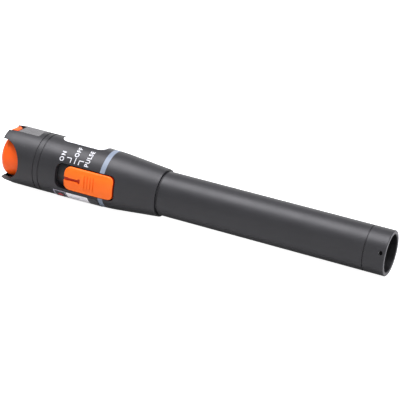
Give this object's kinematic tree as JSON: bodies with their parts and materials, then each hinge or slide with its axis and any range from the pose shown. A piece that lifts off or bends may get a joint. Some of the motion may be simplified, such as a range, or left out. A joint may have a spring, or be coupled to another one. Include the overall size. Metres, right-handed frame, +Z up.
{
  "type": "visual fault locator pen",
  "caption": "Metal pen light for tracing fibre faults: flared head with a flip dust lid over its port, an orange slide switch and a screw-off tail cap.",
  "frame": {"origin": "centre of the bounding box's bottom face, with the pen lying on its side", "axes": "+X along the pen towards the tail cap, -Y out through the slide switch, +Z up through the flat that holds the lid's hinge"},
  "size_m": [0.1794, 0.026, 0.0257],
  "materials": {
    "anodised_body": "satin dark grey anodised",
    "orange_plastic": "moulded, soft sheen",
    "black_plastic": "moulded, satin",
    "spring_steel": "plain",
    "plated_brass": "nickel plated",
    "bare_brass": "turned",
    "white_ceramic": "fired zirconia, polished",
    "lens_glass": "polished",
    "seal_rubber": "moulded",
    "cell_sleeve": "printed film over a steel can",
    "board_laminate": "solder mask",
    "component_black": "moulded",
    "capacitor_can": "drawn can",
    "trimmer_blue": "moulded",
    "label_white": "printed film, white",
    "label_dark": "printed film, dark grey with pale fields"
  },
  "bodies": {
    "pen": {"barrel_tube": "anodised_body", "battery_rear": "cell_sleeve", "battery_front": "cell_sleeve", "head_shell": "anodised_body", "crown": "anodised_body", "hinge_pin": "spring_steel", "port_fitting": "plated_brass", "ferrule_sleeve": "white_ceramic", "laser_module": "bare_brass", "laser_diode": "plated_brass", "focus_lens": "lens_glass", "lens_retainer": "bare_brass", "board_sled": "black_plastic", "front_contact": "plated_brass", "circuit_board": "board_laminate", "board_screws": "spring_steel", "driver_chip": "component_black", "smoothing_capacitor": "capacitor_can", "current_trimmer": "trimmer_blue", "chip_resistors": "component_black", "slide_switch": "black_plastic", "top_label": "label_white", "low_label": "label_dark"},
    "lid": {"dust_lid": "orange_plastic"},
    "slider": {"slide_button": "orange_plastic", "slide_shutter": "black_plastic", "switch_lever": "black_plastic"},
    "tail_contacts": {"tail_contact_plate": "spring_steel", "tail_spring": "spring_steel"},
    "tail_cap": {"tail_cap": "anodised_body", "tail_seal_ring": "seal_rubber"}
  },
  "joints": [
    {"name": "lid_hinge", "type": "hinge", "parent": "pen", "child": "lid", "pos_m": [-0.0849, 0.0002, 0.0234], "axis": [0, 1, 0], "range_deg": [0, 180]},
    {"name": "button_slide", "type": "slide", "parent": "pen", "child": "slider", "axis": [-1, 0, 0], "range_m": [0, 0.0042]},
    {"name": "tail_cap_travel", "type": "slide", "parent": "pen", "child": "tail_contacts", "axis": [1, 0, 0], "range_m": [0, 0.0056]},
    {"name": "tail_cap_turn", "type": "hinge", "parent": "tail_contacts", "child": "tail_cap", "pos_m": [0.0897, 0.0002, 0.0128], "axis": [1, 0, 0], "range_deg": [0, 1980]}
  ],
  "couplings": [
    {"joint": "tail_cap_travel", "follows": "tail_cap_turn", "m_per_rad": 0.00015915}
  ]
}
